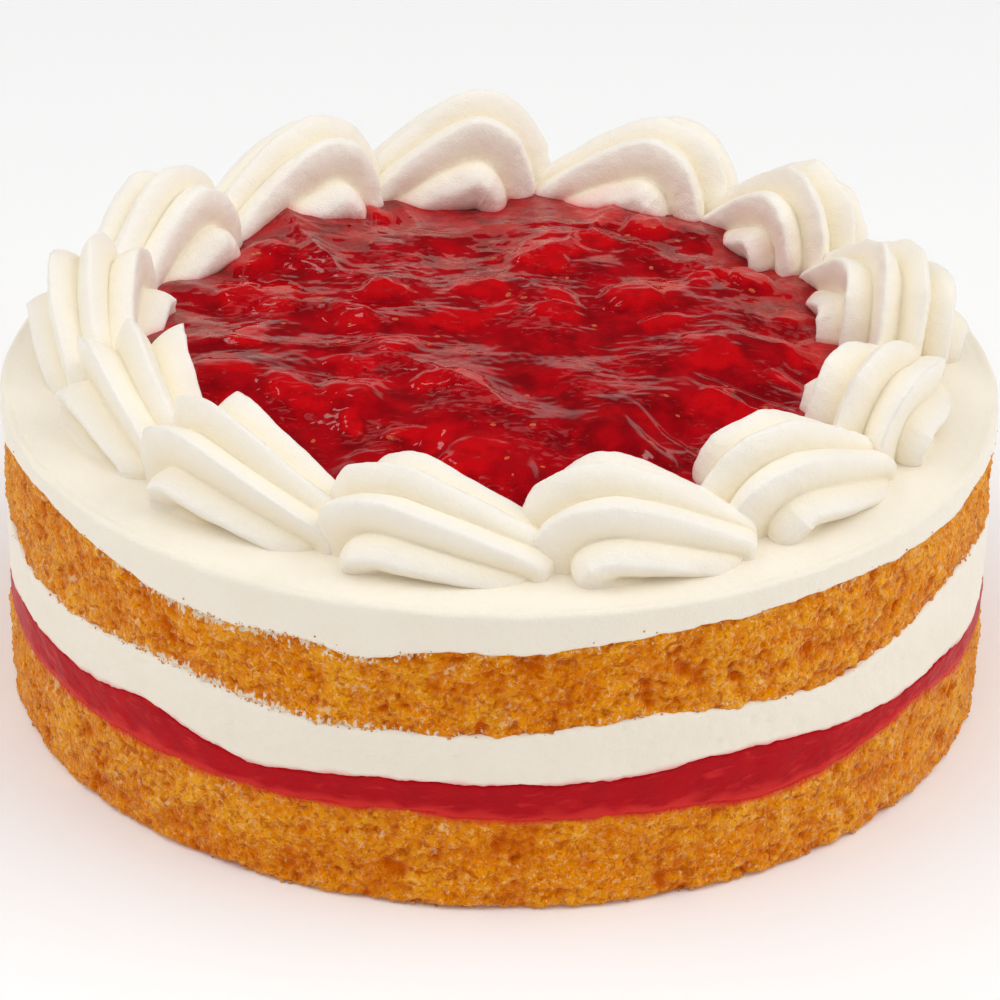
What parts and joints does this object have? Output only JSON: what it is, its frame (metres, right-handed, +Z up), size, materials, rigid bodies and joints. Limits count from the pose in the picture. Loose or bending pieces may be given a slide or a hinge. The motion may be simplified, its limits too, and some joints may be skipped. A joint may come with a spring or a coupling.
{
  "type": "strawberries and cream cake",
  "caption": "Round layer cake of sponge with whipped cream and jam filling, a cream top, a ring of piped cream shells and a strawberry jam topping.",
  "frame": {"origin": "centre of the flat base", "axes": "+Z up through the cake, -Y towards the front"},
  "size_m": [0.18, 0.18, 0.0824],
  "materials": {
    "sponge": "open golden crumb of baked sponge",
    "cream": "soft satin whipped cream",
    "jam": "wet glossy strawberry jam"
  },
  "bodies": {
    "root": {"sponge_bottom": "sponge", "jam_filling": "jam", "cream_filling": "cream", "sponge_top": "sponge", "cream_top": "cream", "jam_topping": "jam", "shell_01": "cream", "shell_02": "cream", "shell_03": "cream", "shell_04": "cream", "shell_05": "cream", "shell_06": "cream", "shell_07": "cream", "shell_08": "cream", "shell_09": "cream", "shell_10": "cream", "shell_11": "cream", "shell_12": "cream", "shell_13": "cream"}
  },
  "joints": []
}
